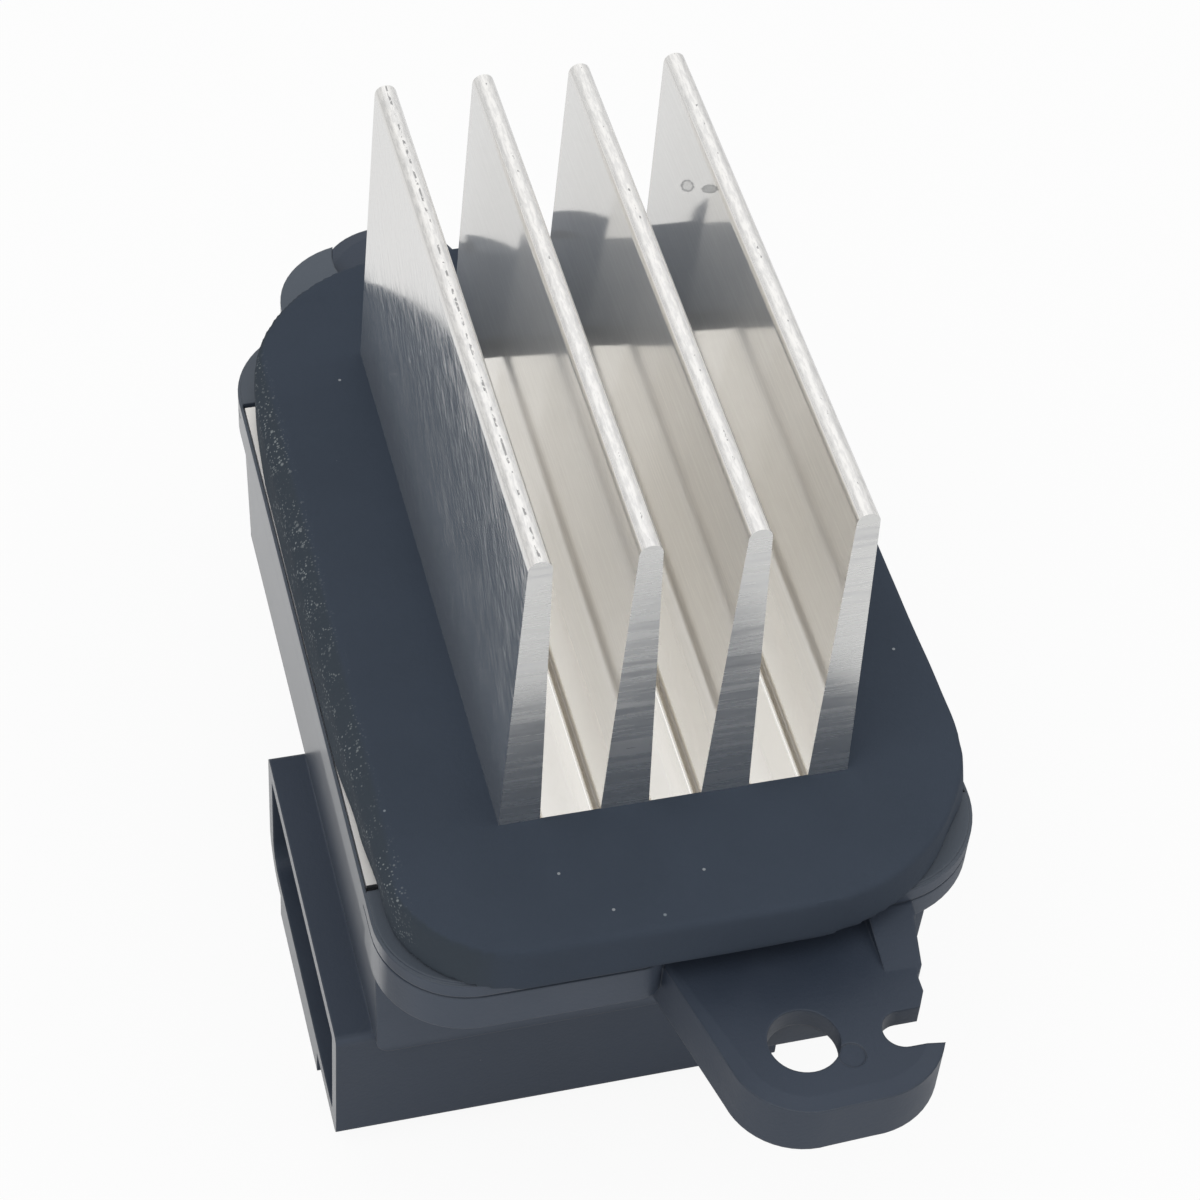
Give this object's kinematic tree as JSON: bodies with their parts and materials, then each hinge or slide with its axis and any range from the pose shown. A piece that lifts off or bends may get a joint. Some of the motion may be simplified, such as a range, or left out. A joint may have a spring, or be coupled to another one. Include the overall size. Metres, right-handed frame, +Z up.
{
  "type": "blower motor resistor",
  "caption": "Blower motor resistor: finned aluminium heat sink on a black plastic housing with fixing ears, a plug socket and a foam seal.",
  "frame": {"origin": "midway between the two fixing holes, in the plane of the ears' top faces, which bear on the air duct", "axes": "+Z up along the fins' height, into the duct; +Y along the fins, from the front ear to the rear ear; +X across the fins, away from the plug socket's mouth"},
  "size_m": [0.0577, 0.1151, 0.0762],
  "materials": {
    "aluminium": "bright drawn extrusion with saw-cut ends",
    "foam": "matte closed-cell foam",
    "black_plastic": "fine satin moulding",
    "board": "green solder resist",
    "component": "black moulding compound",
    "pad": "grey heat-conducting sheet",
    "screw_steel": "zinc plated",
    "terminal": "tin plated",
    "capacitor_can": "shrunk sleeve",
    "shunt_alloy": "rolled resistance strip",
    "ceramic": "fired ceramic"
  },
  "bodies": {
    "root": {"heatsink": "aluminium", "foam_seal": "foam", "housing": "black_plastic", "circuit_board": "board", "power_transistor": "component", "insulating_pad": "pad", "transistor_screw": "screw_steel", "heatsink_screws": "screw_steel", "board_screws": "screw_steel", "ground_blade": "terminal", "motor_blade": "terminal", "supply_blade": "terminal", "control_blade": "terminal", "control_chip": "component", "filter_capacitor": "capacitor_can", "sense_shunt": "shunt_alloy", "surge_diode": "component", "driver_transistors": "component", "chip_resistors": "component", "chip_capacitors": "ceramic"}
  },
  "joints": []
}
